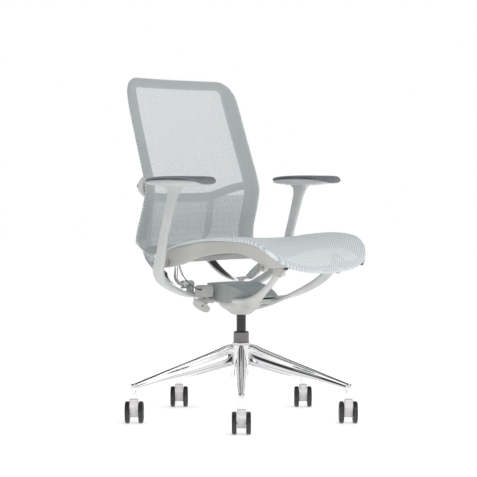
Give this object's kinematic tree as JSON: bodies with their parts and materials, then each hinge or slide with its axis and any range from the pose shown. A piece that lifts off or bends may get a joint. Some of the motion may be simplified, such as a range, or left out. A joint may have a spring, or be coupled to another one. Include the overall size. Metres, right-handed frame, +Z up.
{
  "type": "mesh task chair",
  "caption": "Mesh task chair with fixed armrests, a linked reclining back and seat, and a gas lift on a five-star base with twin-wheel casters.",
  "frame": {"origin": "on the floor under the centre of the column, with the wheels standing on Z = 0", "axes": "+Z up, the seat faces -Y, +X is the sitter's left"},
  "size_m": [0.7001, 0.7024, 1.0089],
  "materials": {
    "polished_aluminium": "polished",
    "fastener_steel": "bright",
    "grey_lift_tube": "satin",
    "black_lift_cylinder": "gloss",
    "light_grey_casting": "satin",
    "light_grey_plastic": "fine texture",
    "warm_grey_plastic": "fine texture",
    "shade_grey_plastic": "fine texture",
    "black_plastic": "matte",
    "black_rubber": "matte",
    "slate_pad": "soft skin",
    "wheel_tread": "satin",
    "back_weave": "open diagonal mesh",
    "seat_weave": "ribbed woven mesh"
  },
  "bodies": {
    "base": {"star_base": "polished_aluminium", "caster_stems": "fastener_steel", "lift_tube": "grey_lift_tube", "lift_bearings": "black_plastic"},
    "piston": {"piston_rod": "fastener_steel"},
    "upper": {"lift_cylinder": "black_lift_cylinder", "yoke": "light_grey_casting", "mechanism_cover": "shade_grey_plastic", "recline_spring": "black_rubber", "release_actuator": "black_plastic", "arm_bracket_right": "light_grey_casting", "arm_bracket_left": "light_grey_casting", "arm_rest_right": "light_grey_plastic", "arm_rest_left": "light_grey_plastic", "arm_pad_right": "slate_pad", "arm_pad_left": "slate_pad", "arm_screws": "fastener_steel", "pivot_pins": "fastener_steel", "seat_guides": "polished_aluminium", "control_box": "warm_grey_plastic", "release_cable": "black_rubber", "tilt_cable": "black_rubber"},
    "valve": {"valve_pin": "fastener_steel"},
    "lever": {"lever_shaft": "warm_grey_plastic", "lever_paddle": "light_grey_plastic", "lever_screw": "fastener_steel"},
    "back": {"carrier_right": "polished_aluminium", "carrier_left": "polished_aluminium", "carrier_bushes": "black_plastic", "lumbar_crossbar": "warm_grey_plastic", "back_frame": "warm_grey_plastic", "back_mesh": "back_weave", "lumbar_mesh": "back_weave", "back_knuckles": "light_grey_plastic", "knuckle_caps": "black_plastic"},
    "seat": {"seat_shell": "warm_grey_plastic", "seat_mesh_rim": "shade_grey_plastic", "seat_mesh": "seat_weave", "seat_pins": "fastener_steel", "seat_bumpers": "black_rubber"},
    "caster_1": {"caster_housing_1": "light_grey_plastic", "caster_axle_1": "fastener_steel"},
    "wheel_a_1": {"caster_wheel_a_1": "wheel_tread"},
    "wheel_b_1": {"caster_wheel_b_1": "wheel_tread"},
    "caster_2": {"caster_housing_2": "light_grey_plastic", "caster_axle_2": "fastener_steel"},
    "wheel_a_2": {"caster_wheel_a_2": "wheel_tread"},
    "wheel_b_2": {"caster_wheel_b_2": "wheel_tread"},
    "caster_3": {"caster_housing_3": "light_grey_plastic", "caster_axle_3": "fastener_steel"},
    "wheel_a_3": {"caster_wheel_a_3": "wheel_tread"},
    "wheel_b_3": {"caster_wheel_b_3": "wheel_tread"},
    "caster_4": {"caster_housing_4": "light_grey_plastic", "caster_axle_4": "fastener_steel"},
    "wheel_a_4": {"caster_wheel_a_4": "wheel_tread"},
    "wheel_b_4": {"caster_wheel_b_4": "wheel_tread"},
    "caster_5": {"caster_housing_5": "light_grey_plastic", "caster_axle_5": "fastener_steel"},
    "wheel_a_5": {"caster_wheel_a_5": "wheel_tread"},
    "wheel_b_5": {"caster_wheel_b_5": "wheel_tread"}
  },
  "joints": [
    {"name": "seat_swivel", "type": "hinge", "parent": "base", "child": "piston", "pos_m": [0, 0, 0.1], "axis": [0, 0, 1], "continuous": true},
    {"name": "lift", "type": "slide", "parent": "piston", "child": "upper", "axis": [0, 0, 1], "range_m": [-0.04, 0.05]},
    {"name": "recline", "type": "hinge", "parent": "upper", "child": "back", "pos_m": [0, 0.105, 0.402], "axis": [-1, 0, 0], "range_deg": [0, 20], "stiffness_Nm_per_rad": 90, "springref_deg": -17.19, "deforming": ["tilt_cable"]},
    {"name": "seat_tilt", "type": "hinge", "parent": "back", "child": "seat", "pos_m": [0, 0.07, 0.472], "axis": [-1, 0, 0], "range_deg": [-19, 0]},
    {"name": "lever_turn", "type": "hinge", "parent": "upper", "child": "lever", "pos_m": [0, 0.052, 0.355], "axis": [1, 0, 0], "range_deg": [0, 12], "stiffness_Nm_per_rad": 0.8, "springref_deg": -2.86},
    {"name": "valve_press", "type": "slide", "parent": "upper", "child": "valve", "axis": [0, 0, -1], "range_m": [0, 0.003]},
    {"name": "caster_swivel_1", "type": "hinge", "parent": "base", "child": "caster_1", "pos_m": [-0.24754, -0.21519, 0.06], "axis": [0, 0, 1], "continuous": true},
    {"name": "wheel_a_spin_1", "type": "hinge", "parent": "caster_1", "child": "wheel_a_1", "pos_m": [-0.23471, -0.20403, 0.032], "axis": [0.6561, -0.7547, 0], "continuous": true},
    {"name": "wheel_b_spin_1", "type": "hinge", "parent": "caster_1", "child": "wheel_b_1", "pos_m": [-0.23471, -0.20403, 0.032], "axis": [0.6561, -0.7547, 0], "continuous": true},
    {"name": "caster_swivel_2", "type": "hinge", "parent": "base", "child": "caster_2", "pos_m": [0.12816, -0.30193, 0.06], "axis": [0, 0, 1], "continuous": true},
    {"name": "wheel_a_spin_2", "type": "hinge", "parent": "caster_2", "child": "wheel_a_2", "pos_m": [0.14099, -0.29077, 0.032], "axis": [0.6561, -0.7547, 0], "continuous": true},
    {"name": "wheel_b_spin_2", "type": "hinge", "parent": "caster_2", "child": "wheel_b_2", "pos_m": [0.14099, -0.29077, 0.032], "axis": [0.6561, -0.7547, 0], "continuous": true},
    {"name": "caster_swivel_3", "type": "hinge", "parent": "base", "child": "caster_3", "pos_m": [0.32675, 0.02859, 0.06], "axis": [0, 0, 1], "continuous": true},
    {"name": "wheel_a_spin_3", "type": "hinge", "parent": "caster_3", "child": "wheel_a_3", "pos_m": [0.33958, 0.03974, 0.032], "axis": [0.6561, -0.7547, 0], "continuous": true},
    {"name": "wheel_b_spin_3", "type": "hinge", "parent": "caster_3", "child": "wheel_b_3", "pos_m": [0.33958, 0.03974, 0.032], "axis": [0.6561, -0.7547, 0], "continuous": true},
    {"name": "caster_swivel_4", "type": "hinge", "parent": "base", "child": "caster_4", "pos_m": [0.07378, 0.31959, 0.06], "axis": [0, 0, 1], "continuous": true},
    {"name": "wheel_a_spin_4", "type": "hinge", "parent": "caster_4", "child": "wheel_a_4", "pos_m": [0.08661, 0.33075, 0.032], "axis": [0.6561, -0.7547, 0], "continuous": true},
    {"name": "wheel_b_spin_4", "type": "hinge", "parent": "caster_4", "child": "wheel_b_4", "pos_m": [0.08661, 0.33075, 0.032], "axis": [0.6561, -0.7547, 0], "continuous": true},
    {"name": "caster_swivel_5", "type": "hinge", "parent": "base", "child": "caster_5", "pos_m": [-0.28115, 0.16893, 0.06], "axis": [0, 0, 1], "continuous": true},
    {"name": "wheel_a_spin_5", "type": "hinge", "parent": "caster_5", "child": "wheel_a_5", "pos_m": [-0.26832, 0.18009, 0.032], "axis": [0.6561, -0.7547, 0], "continuous": true},
    {"name": "wheel_b_spin_5", "type": "hinge", "parent": "caster_5", "child": "wheel_b_5", "pos_m": [-0.26832, 0.18009, 0.032], "axis": [0.6561, -0.7547, 0], "continuous": true}
  ],
  "couplings": [
    {"joint": "seat_tilt", "follows": "recline", "ratio": -0.94},
    {"joint": "lever_turn", "follows": "valve_press", "rad_per_m": 69.81}
  ]
}
